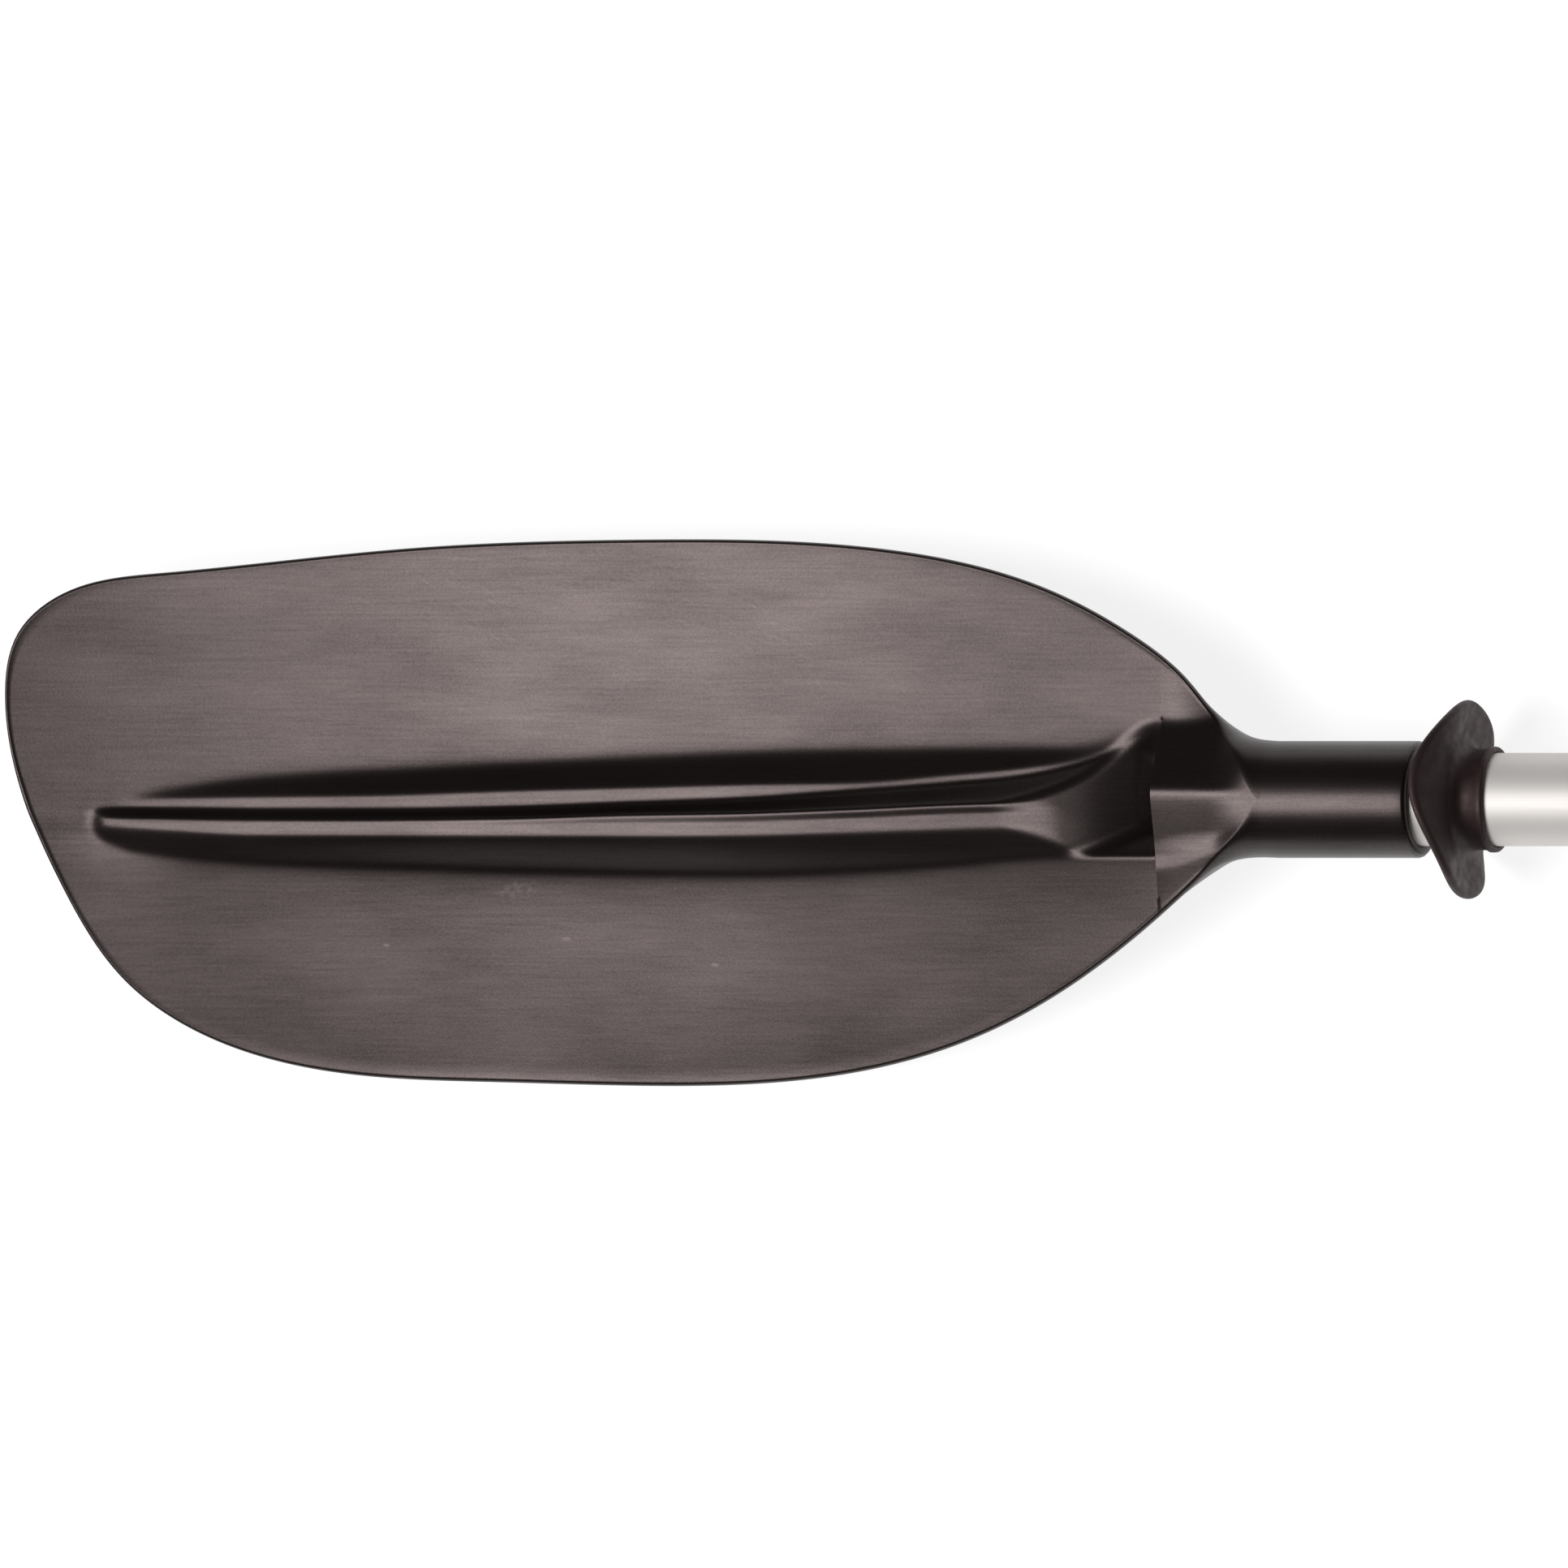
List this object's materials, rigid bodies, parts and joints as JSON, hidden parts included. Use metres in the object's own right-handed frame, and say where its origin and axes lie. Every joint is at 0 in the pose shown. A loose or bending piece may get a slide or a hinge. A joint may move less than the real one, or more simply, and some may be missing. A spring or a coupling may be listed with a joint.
{
  "type": "kayak paddle",
  "caption": "Two-piece double-bladed paddle: asymmetric spooned moulded blades with twin ribs, aluminium tube shaft, drip rings and a snap-button joint.",
  "frame": {"origin": "on the shaft's axis at mid-length, in the middle of the washer between the two halves", "axes": "+X along the shaft to the right blade, +Y to the blades' longer edge, +Z out of the blades' concave power faces"},
  "size_m": [2.2, 0.172, 0.062],
  "materials": {
    "blade_plastic": "satin moulded, dark brown-black",
    "anodised_aluminium": "satin clear anodised tube",
    "rubber": "matt black moulded rubber",
    "foam": "closed-cell foam",
    "nylon": "satin black glass-filled nylon",
    "nylon_washer": "natural nylon",
    "steel": "stainless",
    "spring_steel": "stainless strip"
  },
  "bodies": {
    "left_half": {"left_blade": "blade_plastic", "left_blade_rivet": "steel", "left_shaft_tube": "anodised_aluminium", "left_float_plug": "foam", "left_joint_plug": "foam", "joint_collar": "nylon", "collar_rivets": "steel"},
    "left_ring": {"left_drip_ring": "rubber"},
    "washer": {"joint_washer": "nylon_washer"},
    "right_half": {"right_blade": "blade_plastic", "right_blade_rivet": "steel", "right_shaft_tube": "anodised_aluminium", "right_float_plug": "foam", "right_joint_plug": "foam", "ferrule": "nylon", "ferrule_rivets": "steel", "button_spring": "spring_steel"},
    "right_ring": {"right_drip_ring": "rubber"},
    "button": {"snap_button": "steel"}
  },
  "joints": [
    {"name": "left_ring_slide", "type": "slide", "parent": "left_half", "child": "left_ring", "axis": [1, 0, 0], "range_m": [0, 0.49]},
    {"name": "pull_apart", "type": "slide", "parent": "left_half", "child": "washer", "axis": [1, 0, 0], "range_m": [0, 0.13]},
    {"name": "feather", "type": "hinge", "parent": "washer", "child": "right_half", "pos_m": [0, 0, 0], "axis": [1, 0, 0], "range_deg": [-60, 60], "deforming": ["snap_button"]},
    {"name": "right_ring_slide", "type": "slide", "parent": "right_half", "child": "right_ring", "axis": [-1, 0, 0], "range_m": [0, 0.49]},
    {"name": "button_press", "type": "slide", "parent": "right_half", "child": "button", "axis": [0, 0, -1], "range_m": [0, 0.006], "stiffness_N_per_m": 1500, "deforming": ["button_spring"]}
  ]
}
